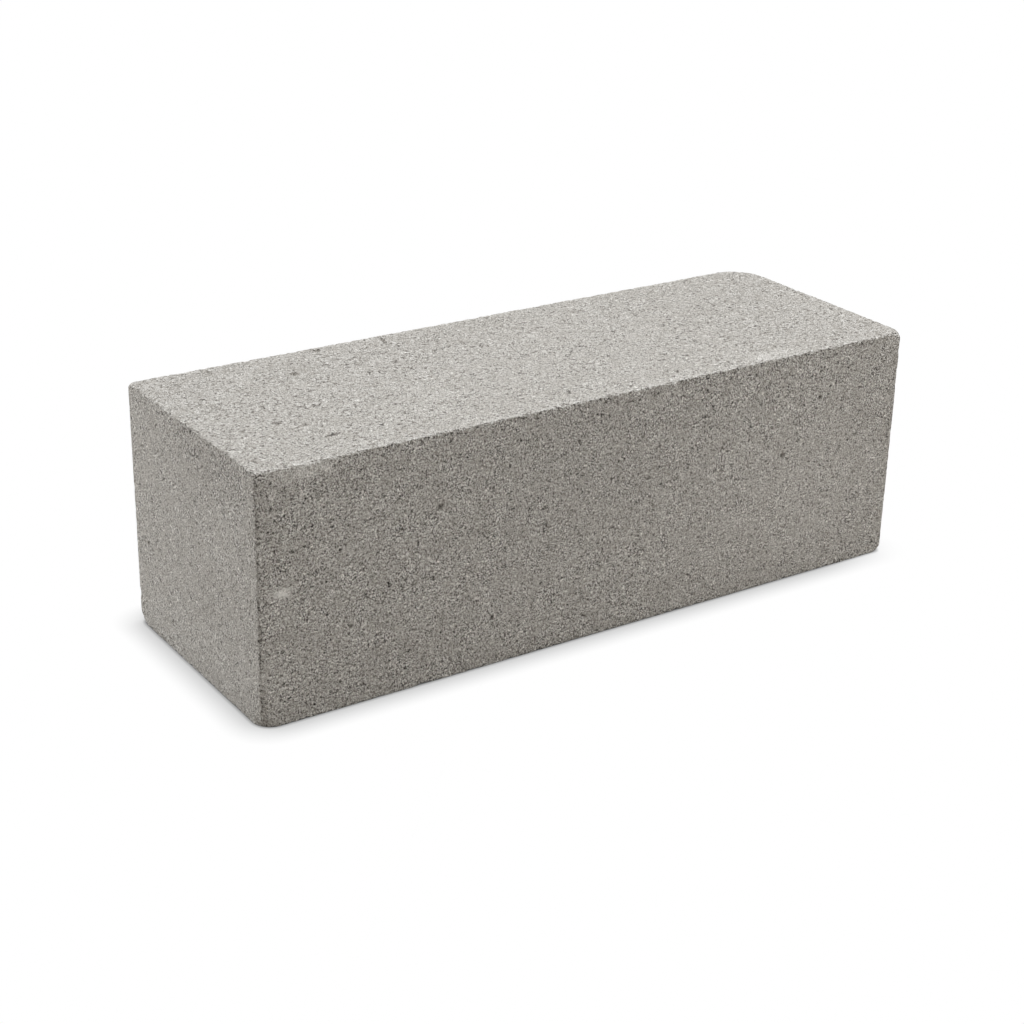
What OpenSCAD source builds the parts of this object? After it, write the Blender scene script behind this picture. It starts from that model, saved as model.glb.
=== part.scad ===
// Solid concrete building block lying on its bed, with rounded arrises and two worn corners.
// Origin in the middle of the bottom bed, X along the length, Z up, sizes in millimetres.

/* [Block] */
// Length of the block, end to end
block_l = 300; // [150:1:600]
// Thickness of the block, face to face
block_w = 105; // [75:1:300]
// Height of the block, bed to bed
block_h = 100; // [60:1:300]
// Radius of the arrises along all the edges
arris_r = 1.5; // [0.5:0.1:4]

/* [Worn corners] */
// Plan radius of the wear on the far right corner of the top bed
top_wear_r = 16; // [6:0.5:24]
// How far that wear runs down the upright edge
top_wear_depth = 40; // [10:1:50]
// Plan radius of the wear on the near left corner of the bottom bed
bottom_wear_r = 8; // [6:0.5:24]
// How far that wear runs up the upright edge
bottom_wear_depth = 20; // [10:1:50]

/* [Hidden] */
$fn = 64;
concrete_grey = [0.68, 0.665, 0.645];
// Half spans between the centre lines of the arrises
span_x = block_l / 2 - arris_r;
span_y = block_w / 2 - arris_r;
// Heights of the arris centre lines on the bottom and top beds
arris_levels = [arris_r, block_h - arris_r];
// How far a cutter stands clear of what it cuts
cut_clear = 2;

// Upright section of the block, standing on its bed line, with its four corners rounded
module section(half_span) {
    translate([-half_span, 0])
        square([2 * half_span, block_h]);
    translate([-half_span - arris_r, arris_r])
        square([2 * (half_span + arris_r), block_h - 2 * arris_r]);
    for (side = [-1, 1], level = arris_levels)
        translate([side * half_span, level])
            circle(r = arris_r);
}

// Round upright edge with a ball at each end
module corner_post() {
    translate([0, 0, arris_r])
        cylinder(r = arris_r, h = block_h - 2 * arris_r);
    for (level = arris_levels)
        translate([0, 0, level])
            sphere(r = arris_r);
}

// The whole block as it leaves the mould: two crossed slabs and the four posts between them
module moulded_block() {
    rotate([90, 0, 90])
        linear_extrude(height = 2 * span_x, center = true)
            section(span_y);
    rotate([90, 0, 0])
        linear_extrude(height = 2 * span_y, center = true)
            section(span_x);
    for (side_x = [-1, 1], side_y = [-1, 1])
        translate([side_x * span_x, side_y * span_y, 0])
            corner_post();
}

// What handling rubs off a top corner that lies at the origin, with the block on its -X, -Y side:
// all that stands outside a cylinder, which leans so that the wear runs out at the depth given
module corner_wear(wear_r, depth) {
    lean = atan((sqrt(2) - 1) * (wear_r - arris_r) / depth);
    reach = depth + cut_clear;
    difference() {
        translate([-wear_r, -wear_r, -reach])
            cube([wear_r + cut_clear, wear_r + cut_clear, reach + cut_clear]);
        translate([-wear_r, -wear_r, 0])
            rotate([0, 0, 45])
                rotate([0, -lean, 0])
                    cylinder(r = wear_r, h = 4 * reach, center = true);
    }
}

module block() {
    color(concrete_grey)
        difference() {
            moulded_block();
            translate([block_l / 2, block_w / 2, block_h])
                corner_wear(top_wear_r, top_wear_depth);
            translate([-block_l / 2, -block_w / 2, 0])
                rotate([180, 0, -90])
                    corner_wear(bottom_wear_r, bottom_wear_depth);
        }
}

block();
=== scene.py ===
import math

import bmesh
import bpy
from mathutils import Matrix, Vector, noise


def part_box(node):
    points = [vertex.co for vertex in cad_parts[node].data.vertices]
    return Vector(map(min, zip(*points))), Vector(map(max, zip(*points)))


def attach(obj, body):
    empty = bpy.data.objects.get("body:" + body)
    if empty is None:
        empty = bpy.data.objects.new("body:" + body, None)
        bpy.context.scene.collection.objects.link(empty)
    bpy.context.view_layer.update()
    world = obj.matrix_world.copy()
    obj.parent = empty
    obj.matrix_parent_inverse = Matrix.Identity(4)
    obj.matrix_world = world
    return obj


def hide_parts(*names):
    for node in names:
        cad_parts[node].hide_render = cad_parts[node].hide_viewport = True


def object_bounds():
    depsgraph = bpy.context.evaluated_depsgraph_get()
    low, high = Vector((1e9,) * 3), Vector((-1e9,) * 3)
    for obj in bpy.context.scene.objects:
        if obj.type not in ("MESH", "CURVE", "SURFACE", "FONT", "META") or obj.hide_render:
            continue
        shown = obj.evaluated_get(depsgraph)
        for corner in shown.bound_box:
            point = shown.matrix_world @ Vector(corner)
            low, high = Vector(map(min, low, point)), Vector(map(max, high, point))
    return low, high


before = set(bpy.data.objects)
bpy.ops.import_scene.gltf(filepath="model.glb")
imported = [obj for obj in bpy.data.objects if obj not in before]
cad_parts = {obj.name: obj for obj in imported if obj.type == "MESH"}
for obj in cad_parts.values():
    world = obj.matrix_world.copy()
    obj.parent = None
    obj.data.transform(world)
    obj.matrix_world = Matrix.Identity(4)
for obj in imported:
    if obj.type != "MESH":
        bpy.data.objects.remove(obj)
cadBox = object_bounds()
mm = 0.001
scene = bpy.context.scene
scene.view_settings.view_transform = "Standard"
print("frame loaded, CAD box", [tuple(round(v, 4) for v in corner) for corner in cadBox])


# Shader maths

class Wire:
    # one output of a node: Python's operators on it add Math nodes
    def __init__(self, bench, socket):
        self.bench = bench
        self.socket = socket

    def __add__(self, other):
        return self.bench.maths("ADD", self, other)

    def __radd__(self, other):
        return self.bench.maths("ADD", other, self)

    def __sub__(self, other):
        return self.bench.maths("SUBTRACT", self, other)

    def __rsub__(self, other):
        return self.bench.maths("SUBTRACT", other, self)

    def __mul__(self, other):
        return self.bench.maths("MULTIPLY", self, other)

    def __rmul__(self, other):
        return self.bench.maths("MULTIPLY", other, self)


class Bench:
    # a node tree to work on, cleared
    def __init__(self, tree):
        self.tree = tree
        tree.nodes.clear()

    def node(self, kind, settings=None, inputs=None, output=0):
        made = self.tree.nodes.new(kind)
        for name, value in (settings or {}).items():
            setattr(made, name, value)
        for name, value in (inputs or {}).items():
            if isinstance(value, Wire):
                self.tree.links.new(value.socket, made.inputs[name])
            else:
                made.inputs[name].default_value = value
        return Wire(self, made.outputs[output]) if len(made.outputs) else None

    def maths(self, operation, left, right=0.0):
        return self.node("ShaderNodeMath", {"operation": operation}, {0: left, 1: right})

    def smooth(self, value, start, end):
        return self.node("ShaderNodeMapRange", {"interpolation_type": "SMOOTHSTEP"},
                         {"Value": value, "From Min": start, "From Max": end})

    def grey(self, level):
        return self.node("ShaderNodeCombineColor", inputs={0: level, 1: level, 2: level})

    def mixColour(self, factor, a, b, blend="MIX"):
        return self.node("ShaderNodeMix", {"data_type": "RGBA", "blend_type": blend},
                         {0: factor, 6: a, 7: b}, output=2)


# The block's shape

blockShape = {
    "cells": (212, 76, 72),       # quads along the length, the thickness and the height
    "rimRows": 6,                 # rows of narrow quads beside each arris
    "rimRow": 0.35 * mm,          # width of such a row
    "fineRows": 4,                # rows of those that are cut once more along the arris
    "arris": (0.3 * mm, 0.4 * mm),    # least radius, and how much noise adds to it
    "arrisWave": 9 * mm,
    "chip": 1.2 * mm,             # radius that the deepest chips add
    "chipWave": 5 * mm,
    "chipShift": Vector((31, 7, 12)),    # keeps this noise apart from the radius's
    "chipShare": (0.3, 0.7),      # noise levels at which a chip starts and is deepest
    "upright": 1.5 * mm,          # radius of the two rounder upright arrises
    "ballReach": 2.2,             # how far a rounded corner runs out, in radii
    "nibble": 1.7 * mm,           # depth of the ragged edge on the arrises of the roughest corner
    "nibbleElsewhere": 0.45,      # share of that depth on the other arrises
    "roughCorner": (-1, -1, 1),
    "nibbleWave": 1.7 * mm,
    "nibbleReach": 0.8 * mm,
    "rimReach": 1.5 * mm,         # width of the rim beside an arris, which carries the painted highlight, the painted shade and extra pits
    "rimFoot": 0.7,               # how much fainter it is at the foot
    "rimFootReach": 4.5 * mm,
    # depth and size of the faces' unevenness, from broad to fine
    "uneven": ((0.16 * mm, 70 * mm), (0.035 * mm, 14 * mm), (0.025 * mm, 3.5 * mm)),
    "unevenShift": Vector((5, 5, 5)),
    # worn corners: sides in X and Y, which bed, radius of the ball, radius rubbed in plan and its reach
    "wornCorners": (
        (1, 1, "top", 1.5 * mm, 16 * mm, 40 * mm),
        (-1, -1, "bottom", 0.8 * mm, 8 * mm, 20 * mm),
        (1, -1, "bottom", 3 * mm, 0, 0),
        (1, -1, "top", 3 * mm, 0, 0),
        (-1, 1, "top", 2.2 * mm, 0, 0),
        (-1, 1, "bottom", 4 * mm, 0, 0),
        (-1, -1, "top", 1.2 * mm, 0, 0),
        (1, 1, "bottom", 3 * mm, 5 * mm, 14 * mm),
    ),
    # pores in the faces and one notch in an arris, in mm: place, radius and depth
    "dents": (
        ((107, -52.5, 79), 1.5, 1.0),
        ((89, -52.5, 57), 2.0, 1.2),
        ((-75, -52.5, 71), 2.2, 1.0),
        ((-90.5, 29.5, 100), 2.4, 1.3),
        ((-41, 47.5, 100), 1.9, 0.7),
        ((-70, 49.5, 100), 2.1, 2.4),
        ((-118, 48, 100), 1.6, 0.9),
        ((-150, 40.5, 38), 1.5, 1.0),
        ((60, 52.5, 28), 2.4, 1.3),
        ((-35, 52.5, 66), 2.2, 1.2),
        ((150, 14, 100), 1.6, 0.8),
        ((150, 14, 60), 2.4, 1.3),
        ((150, -28, 33), 2.0, 1.1),
    ),
    "dentAround": 1.3,            # how far round a pore the mesh is finer, in radii
    "dentCuts": 3,                # cuts in each edge there
    # skins of cement paste and patches of painted light and shade, in mm: middle, half spans and how
    # much paler, or darker below 0
    "paleSkinsAndPaintedLight": (
        ((-140, -52.5, 52.5), (5.5, 3, 2.8), 2.4),
        ((-130, -52.5, 97.5), (20, 3, 6.5), 0.85),
        ((85, -47, 100), (18, 6, 3), 0.6),
        # paler over the right half of the front
        ((88, -52.5, 42), (75, 3, 60), 0.2),
        # painted light: lighter towards the foot of the left end
        ((-150, 0, 4), (4, 90, 36), 0.24),
        # painted shade: darker towards the top of the left end, most towards the near arris
        ((-150, -25, 94), (4, 65, 24), -0.24),
    ),
}


def griddedBlock(low, high):
    size = high - low
    bm = bmesh.new()
    bmesh.ops.create_cube(bm, size=1.0)
    bmesh.ops.scale(bm, vec=size, verts=bm.verts)
    bmesh.ops.translate(bm, vec=(low + high) / 2, verts=bm.verts)
    for axis, count in enumerate(blockShape["cells"]):
        along = [e for e in bm.edges if abs(e.verts[1].co[axis] - e.verts[0].co[axis]) > mm]
        bmesh.ops.subdivide_edges(bm, edges=along, cuts=count - 1, use_grid_fill=True)
    # draw the outer rows in towards the arrises
    rows, rowWidth = blockShape["rimRows"], blockShape["rimRow"]
    for axis, count in enumerate(blockShape["cells"]):
        inner = (size[axis] - 2 * rows * rowWidth) / (count - 2 * rows)
        for v in bm.verts:
            step = round((v.co[axis] - low[axis]) / size[axis] * count)
            fromEnd = min(step, count - step)
            offset = min(fromEnd, rows) * rowWidth + max(fromEnd - rows, 0) * inner
            v.co[axis] = low[axis] + offset if step <= count / 2 else high[axis] - offset
    # halve the quads nearest to the arrises, along them
    fineReach = (blockShape["fineRows"] + 0.5) * rowWidth
    bmesh.ops.subdivide_edges(bm, edges=[e for e in bm.edges if besideArris(e, low, high, fineReach)],
                              cuts=1, use_grid_fill=True)
    return bm


def besideArris(edge, low, high, reach):
    a, b = (v.co for v in edge.verts)
    along = max(range(3), key=lambda axis: abs(b[axis] - a[axis]))
    across = [axis for axis in range(3) if axis != along]
    return all(min(a[axis] - low[axis], high[axis] - a[axis]) < reach for axis in across)


def ease(t):
    t = min(max(t, 0.0), 1.0)
    return t * t * (3 - 2 * t)


def arrisRadius(p, half):
    base, swing = blockShape["arris"]
    gaps = [h - abs(c) for h, c in zip(half, p)]
    if p.x * p.y < 0 and gaps[2] == max(gaps):
        base = blockShape["upright"]
    radius = base + swing * (0.5 + 0.5 * noise.noise(p / blockShape["arrisWave"]))
    chip = noise.noise(p / blockShape["chipWave"] + blockShape["chipShift"])
    start, full = blockShape["chipShare"]
    radius += blockShape["chip"] * ease((chip - start) / (full - start))
    for sideX, sideY, bed, ball, _, _ in blockShape["wornCorners"]:
        if sideX * p.x > 0 and sideY * p.y > 0 and (p.z > 0) == (bed == "top"):
            radius = max(radius, ball * (1 - ease(max(gaps) / (ball * blockShape["ballReach"]))))
    return radius


def roundArrises(p, half):
    radius = arrisRadius(p, half)
    core = Vector(min(max(c, radius - h), h - radius) for c, h in zip(p, half))
    out = p - core
    return core + out * (radius / out.length)


def roundInPlan(p, half):
    for sideX, sideY, bed, _, radius, reach in blockShape["wornCorners"]:
        if not radius:
            continue
        fromBed = half.z - p.z if bed == "top" else half.z + p.z
        here = radius * (1 - fromBed / reach)
        u = sideX * p.x - half.x + here
        v = sideY * p.y - half.y + here
        if here > 0 and u > 0 and v > 0:
            pull = max(u, v) / math.hypot(u, v) - 1
            p.x += sideX * u * pull
            p.y += sideY * v * pull
    return p


def sinkAt(p):
    return sum(depth * (0.5 + 0.5 * noise.noise(p / wave + blockShape["unevenShift"]))
               for depth, wave in blockShape["uneven"])


# bites at the arrises go straight in from the edge, so that the mesh doesn't fold there
def nibbleAt(p, half):
    near = [math.exp(-((h - abs(c)) / blockShape["nibbleReach"]) ** 2) for h, c in zip(half, p)]
    push = Vector()
    for axes in ((0, 1), (1, 2), (2, 0)):
        rough = all(p[axis] * blockShape["roughCorner"][axis] > 0 for axis in axes)
        share = 1.0 if rough else blockShape["nibbleElsewhere"]
        for axis in axes:
            push[axis] -= math.copysign(share * near[axes[0]] * near[axes[1]] / math.sqrt(2), p[axis])
    return push * blockShape["nibble"] * max(0.0, noise.noise(p / blockShape["nibbleWave"]))


def fromArris(p, half):
    return sorted(h - abs(c) for h, c in zip(half, p))[1]


def cutFiner(bm, place, radius):
    reach = radius * blockShape["dentAround"]
    near = [f for f in bm.faces if (f.calc_center_median() - place).length < reach]
    edges = dict.fromkeys(e for f in near for e in f.edges)
    bmesh.ops.subdivide_edges(bm, edges=list(edges), cuts=blockShape["dentCuts"], use_grid_fill=True)


# how far a place lies in its nearest pore, and that pore's number
def dentAt(place):
    return max((1 - ease((place - Vector(middle) * mm).length / (radius * mm)), number)
               for number, (middle, radius, _) in enumerate(blockShape["dents"]))


# how a pore is pushed in: square to its face, or from the edge where it is a notch in an arris
def dentPush(dent, low, high):
    middle, radius, depth = dent
    push = Vector()
    for axis, place in enumerate(middle):
        push[axis] += place * mm - low[axis] < radius * mm
        push[axis] -= high[axis] - place * mm < radius * mm
    return push.normalized() * depth * mm


# how much a place is lightened or darkened by the pale skins and the patches of painted light and shade
def skinAndPaintedLightAt(place):
    skinAndPaintedLight = 0.0
    for middle, spans, strength in blockShape["paleSkinsAndPaintedLight"]:
        off = place / mm - Vector(middle)
        away = math.sqrt(sum((o / s) ** 2 for o, s in zip(off, spans)))
        skinAndPaintedLight += strength * (1 - ease(away))
    return skinAndPaintedLight


def makeBlock():
    low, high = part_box("block")
    centre, half = (low + high) / 2, (high - low) / 2
    bm = griddedBlock(low, high)
    for middle, radius, _ in blockShape["dents"]:
        cutFiner(bm, Vector(middle) * mm, radius * mm)
    # the faces round a finer part get a middle of their own, which leaves no slivers
    manySided = [f for f in bm.faces if len(f.verts) > 4]
    bmesh.ops.poke(bm, faces=manySided)
    print("block", len(manySided), "faces poked")
    rim, paintedHighlightRim, dent, skinAndPaintedLight = (bm.verts.layers.float.new(name)
                               for name in ("rim", "paintedHighlightRim", "dent", "skinAndPaintedLight"))
    for v in bm.verts:
        foot = math.exp(-((v.co.z - low.z) / blockShape["rimFootReach"]) ** 2)
        v[rim] = math.exp(-(fromArris(v.co - centre, half) / blockShape["rimReach"]) ** 2)
        v[rim] *= 1 - blockShape["rimFoot"] * foot
        # the painted highlight on the rim keeps off the ends
        v[paintedHighlightRim] = v[rim] if half.x - abs(v.co.x) > blockShape["rimReach"] else 0.0
        v[dent] = dentAt(v.co)[0]
        v[skinAndPaintedLight] = skinAndPaintedLightAt(v.co)
        v.co = centre + roundInPlan(roundArrises(v.co - centre, half), half)
    bm.normal_update()
    pushes = [dentPush(one, low, high) for one in blockShape["dents"]]
    for v in bm.verts:
        share, number = dentAt(v.co)
        bite = nibbleAt(v.co - centre, half)
        v.co += share * pushes[number] + bite - v.normal * sinkAt(v.co - centre)
    lowest = min(v.co.z for v in bm.verts)
    bmesh.ops.translate(bm, vec=(0, 0, low.z - lowest), verts=bm.verts)
    for face in bm.faces:
        face.smooth = True
    mesh = bpy.data.meshes.new("concreteBlock")
    bm.to_mesh(mesh)
    bm.free()
    made = bpy.data.objects.new("concreteBlock", mesh)
    scene.collection.objects.link(made)
    print("block", sum(len(f.vertices) - 2 for f in mesh.polygons), "triangles")
    return made


# The concrete

concreteLook = {
    "pasteColour": (0.549, 0.505, 0.446, 1),
    "grainColour": (0.525, 0.506, 0.472, 1),
    "grainTones": (0.75, 1.45),    # tone at which the paste's colour goes over to the grains'
    # size in mm, share of tone and height in mm
    "grain": (0.75, 0.32, 0.22),
    "fine": (0.42, 0.76, 0.26),
    "thread": (1.7, 0.28, 0.07),
    "pit": (1.1, 0.34, 0.34),
    "pin": (0.7, 0.37, 0.28),
    "mottle": (4.0, 0.03, 0.03),
    # size in mm and share of tone
    "sand": (1.0, 0.18),
    "speck": (1.0, 0.28),
    "stroke": (1.9, 0.54),
    "cloud": (70.0, 0.08),
    "crisp": (0.38, 0.62),       # noise levels that give the darkest and the lightest grain
    "speckShare": (0.06, 0.95),    # share of the sand that is dark, and where the pale begins
    "speckEdge": 0.02,
    "threadTurns": 22.0,         # how closely the threads follow each other
    "strokeWidth": (0.0, 0.06),    # how far the noise strays from its middle across a stroke
    "strokeMean": 0.75,          # taken off, so that the strokes hardly change the mean tone
    "pitShare": (0.36, 0.31),    # noise levels at which a pit starts and is deepest
    "patch": 9.0,                # size of the rougher patches
    "patchShare": (0.35, 0.65),    # noise levels between and in them
    "patchLow": 0.82,            # how rough the surface is between and in them
    "patchHigh": 1.18,
    "topCalm": 0.40,             # how much fainter the grain is on the trowelled top
    "endCalm": 0.12,             # and on the ends
    "rimPits": 0.09,             # how much more of the noise is a pit beside an arris
    # how much darker the pores are: painted shade in their hollows, with some dirt
    "paintedDentShade": 0.62,
    "skinAndPaintedLightShare": 0.35,
    "paleCalm": 0.35,            # how much smoother the grain is under these patches
    "paintedRimHighlight": 0.18,            # painted highlight where the rim faces up
    "paintedRimShade": 0.10,            # painted shade where it faces the front, the back or the right
    "roughness": (1.1, 0.2),     # at tone 0, and how much of it tone 1 takes off
    "specular": 0.3,
}


def makeConcrete():
    material = bpy.data.materials.new("concrete")
    material.use_nodes = True
    bench = Bench(material.node_tree)
    look = concreteLook
    where = bench.node("ShaderNodeTexCoord", output="Object")
    where = bench.node("ShaderNodeMapping", inputs={"Vector": where, "Scale": (1 / mm,) * 3})

    def noiseOf(size, detail=1.0):
        return bench.node("ShaderNodeTexNoise",
                          inputs={"Vector": where, "Scale": 1 / size, "Detail": detail})

    def cellsOf(size):
        cells = bench.node("ShaderNodeTexVoronoi", inputs={"Vector": where, "Scale": 1 / size},
                           output="Color")
        return bench.node("ShaderNodeSeparateColor", inputs={0: cells})

    rim, paintedHighlightRim, dent, skinAndPaintedLight = (bench.node("ShaderNodeAttribute", {"attribute_name": name}, output="Fac")
                               for name in ("rim", "paintedHighlightRim", "dent", "skinAndPaintedLight"))
    facing = bench.node("ShaderNodeNewGeometry", output="True Normal")
    toX, toY, toZ = (bench.node("ShaderNodeSeparateXYZ", inputs={0: facing}, output=axis)
                     for axis in "XYZ")
    up = bench.maths("MAXIMUM", toZ)
    aside = bench.maths("ABSOLUTE", toY) + bench.maths("MAXIMUM", toX)
    grainy = 1 - look["topCalm"] * up - look["endCalm"] * bench.maths("ABSOLUTE", toX)
    crumbled = look["rimPits"] * rim * (1 - up)

    rough = bench.smooth(noiseOf(look["patch"], 2.0), *look["patchShare"])
    calm = 1 - look["paleCalm"] * bench.maths("MINIMUM", skinAndPaintedLight, 1.0)
    rough = calm * (look["patchLow"] + (look["patchHigh"] - look["patchLow"]) * rough)
    size, grainShade, grainRise = look["grain"]
    grain = bench.smooth(noiseOf(size, 2.0), *look["crisp"]) - 0.5
    size, fineShade, fineRise = look["fine"]
    fine = bench.smooth(noiseOf(size), *look["crisp"]) - 0.5
    size, sandShade = look["sand"]
    sand = cellsOf(size) - 0.5
    size, speckShade = look["speck"]
    speck = cellsOf(size)
    dark, light = look["speckShare"]
    edge = look["speckEdge"]
    speck = bench.smooth(speck, light, light + edge) - bench.smooth(speck, dark, dark - edge)
    size, threadShade, threadRise = look["thread"]
    thread = bench.maths("SINE", look["threadTurns"] * noiseOf(size, 0.0))
    size, pitShade, pitRise = look["pit"]
    pit = 1 - bench.smooth(noiseOf(size) - crumbled, look["pitShare"][1], look["pitShare"][0])
    size, strokeShade = look["stroke"]
    stroke = bench.maths("ABSOLUTE", noiseOf(size, 0.0) - 0.5)
    stroke = bench.smooth(stroke, *look["strokeWidth"]) - look["strokeMean"]
    size, pinShade, pinRise = look["pin"]
    pin = 1 - bench.smooth(noiseOf(size), look["pitShare"][1], look["pitShare"][0])
    size, mottleShade, mottleRise = look["mottle"]
    mottle = noiseOf(size, 2.0) - 0.5
    size, cloudShade = look["cloud"]
    cloud = noiseOf(size, 2.0) - 0.5

    tone = grainShade * grain + fineShade * fine + sandShade * sand + threadShade * thread
    tone = rough * (tone * grainy + strokeShade * stroke * up)
    tone = 1 + tone + mottleShade * mottle + cloudShade * cloud + speckShade * speck
    # pits and pins are sunk in the bump and darkened: painted shade in the pits
    tone = tone - calm * (pitShade * pit + pinShade * pin)
    # painted highlight on rims that face up, painted shade on rims that face the front, the back or the
    # right
    tone = tone + look["paintedRimHighlight"] * paintedHighlightRim * up - look["paintedRimShade"] * rim * aside
    # the pores are darkened by painted shade with some dirt
    tone = tone * (1 - look["paintedDentShade"] * dent) + look["skinAndPaintedLightShare"] * skinAndPaintedLight
    height = calm * (grainRise * grain + fineRise * fine + threadRise * thread)
    height = height + mottleRise * mottle - calm * (pitRise * pit + pinRise * pin)
    hue = bench.mixColour(bench.smooth(tone, *look["grainTones"]),
                          look["pasteColour"], look["grainColour"])
    colour = bench.mixColour(1.0, hue, bench.grey(tone), "MULTIPLY")
    bump = bench.node("ShaderNodeBump", inputs={"Strength": 1.0, "Distance": mm, "Height": height})
    dull, sheen = look["roughness"]
    shader = bench.node("ShaderNodeBsdfPrincipled", inputs={
        "Base Color": colour, "Roughness": dull - sheen * tone,
        "Specular IOR Level": look["specular"], "Normal": bump})
    bench.node("ShaderNodeOutputMaterial", inputs={"Surface": shader})
    return material


block = makeBlock()
block.data.materials.append(makeConcrete())
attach(block, "root")
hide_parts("block")
print("concrete on")


# Floor, lights and camera

floorLook = {
    "width": 8.0,
    "colour": (0.65, 0.62, 0.585, 1),
    # reach of the painted shadow around the block and what is left of the white at its foot
    "shade": (13 * mm, 0.18),
    "contact": (1.6 * mm, 0.12),
    # where along the block the painted shadow is lifted towards the right end, and how far
    "paintedShadowLift": (110 * mm, 158 * mm),
    "paintedShadowLiftShare": 0.75,
    "samples": 16,
}


def seenDirectly(bench):
    rays = [bench.node("ShaderNodeLightPath", output=name)
            for name in ("Is Camera Ray", "Is Glossy Ray", "Is Transmission Ray")]
    seen = bench.maths("MAXIMUM", rays[0], rays[1])
    return bench.maths("MAXIMUM", seen, rays[2])


def makeFloor():
    bm = bmesh.new()
    bmesh.ops.create_grid(bm, x_segments=1, y_segments=1, size=floorLook["width"] / 2)
    mesh = bpy.data.meshes.new("floor")
    bm.to_mesh(mesh)
    bm.free()
    floor = bpy.data.objects.new("floor", mesh)
    scene.collection.objects.link(floor)
    material = bpy.data.materials.new("paperFloor")
    material.use_nodes = True
    bench = Bench(material.node_tree)
    where = bench.node("ShaderNodeTexCoord", output="Object")
    along = bench.node("ShaderNodeSeparateXYZ", inputs={0: where}, output="X")
    paintedShadowLift = floorLook["paintedShadowLiftShare"] * bench.smooth(along, *floorLook["paintedShadowLift"])

    def shadeOf(reach, dark):
        free = bench.node("ShaderNodeAmbientOcclusion", {"samples": floorLook["samples"]},
                          {"Distance": reach}, output="AO")
        return dark + (1 - dark) * free

    # seen directly, the floor glows white with a painted shadow from ambient occlusion; other rays meet
    # the plain diffuse floor
    shade, contact = shadeOf(*floorLook["shade"]), shadeOf(*floorLook["contact"])
    paintedShadowGrey = contact * (shade + paintedShadowLift * (1 - shade))
    plain = bench.node("ShaderNodeBsdfDiffuse", inputs={"Color": floorLook["colour"]})
    paper = bench.node("ShaderNodeEmission", inputs={"Color": bench.grey(paintedShadowGrey)})
    shader = bench.node("ShaderNodeMixShader", inputs={0: seenDirectly(bench), 1: plain, 2: paper})
    bench.node("ShaderNodeOutputMaterial", inputs={"Surface": shader})
    mesh.materials.append(material)


studio = {
    "sky": 0.27,
    # direction the light comes from, distance, width, level on a surface that faces it, and colour
    "softboxes": {
        "overhead": ((0.12, -0.03, 1.0), 1.4, 1.0, 1.166, (0.96, 0.985, 1.02)),
        "left": ((-1.0, 0.8, 0.05), 0.8, 0.4, 0.625, (0.96, 0.99, 1.03)),
        "frontRight": ((0.95, -0.8, 0.45), 0.5, 0.3, 0.11, (1.0, 1.0, 1.0)),
    },
}


def makeLights():
    world = bpy.data.worlds.new("studio")
    scene.world = world
    world.use_nodes = True
    bench = Bench(world.node_tree)
    strength = studio["sky"] + (1 - studio["sky"]) * seenDirectly(bench)
    sky = bench.node("ShaderNodeBackground", inputs={"Color": (1, 1, 1, 1), "Strength": strength})
    bench.node("ShaderNodeOutputWorld", inputs={"Surface": sky})
    target = sum(cadBox, Vector()) / 2
    for name, (direction, distance, width, level, tint) in studio["softboxes"].items():
        lamp = bpy.data.lights.new(name, "AREA")
        lamp.shape = "SQUARE"
        lamp.size = width
        lamp.color = tint
        lamp.energy = level * math.pi ** 2 * distance ** 2
        holder = bpy.data.objects.new(name, lamp)
        toLight = Vector(direction).normalized()
        holder.location = target + toLight * distance
        holder.rotation_euler = toLight.to_track_quat("Z", "Y").to_euler()
        scene.collection.objects.link(holder)


photoCamera = {
    "lens": 71.05,           # in mm, as is the width of its frame
    "frameWidth": 36,
    "azimuth": -34.13,
    "elevation": 23.68,
    "roll": -1.26,
    "distance": 821.1 * mm,  # to the block's centre along the view
    "right": 7.2 * mm,       # where the block's centre lies in the view
    "down": -16.2 * mm,
}


def makeCamera():
    azimuth, elevation, roll = (math.radians(photoCamera[k]) for k in ("azimuth", "elevation", "roll"))
    level = math.cos(elevation)
    forward = Vector((-math.sin(azimuth) * level, math.cos(azimuth) * level, -math.sin(elevation)))
    right = forward.cross(Vector((0, 0, 1))).normalized()
    down = forward.cross(right)
    turned = math.cos(roll) * right + math.sin(roll) * down
    down = math.cos(roll) * down - math.sin(roll) * right
    right = turned
    data = bpy.data.cameras.new("photoCamera")
    data.lens = photoCamera["lens"]
    data.sensor_width = photoCamera["frameWidth"]
    camera = bpy.data.objects.new("photoCamera", data)
    place = sum(cadBox, Vector()) / 2
    place -= right * photoCamera["right"] + down * photoCamera["down"]
    place -= forward * photoCamera["distance"]
    turn = Matrix((right, -down, -forward)).transposed()
    camera.matrix_world = Matrix.Translation(place) @ turn.to_4x4()
    scene.collection.objects.link(camera)
    scene.camera = camera


makeFloor()
makeLights()
makeCamera()
print("studio set")
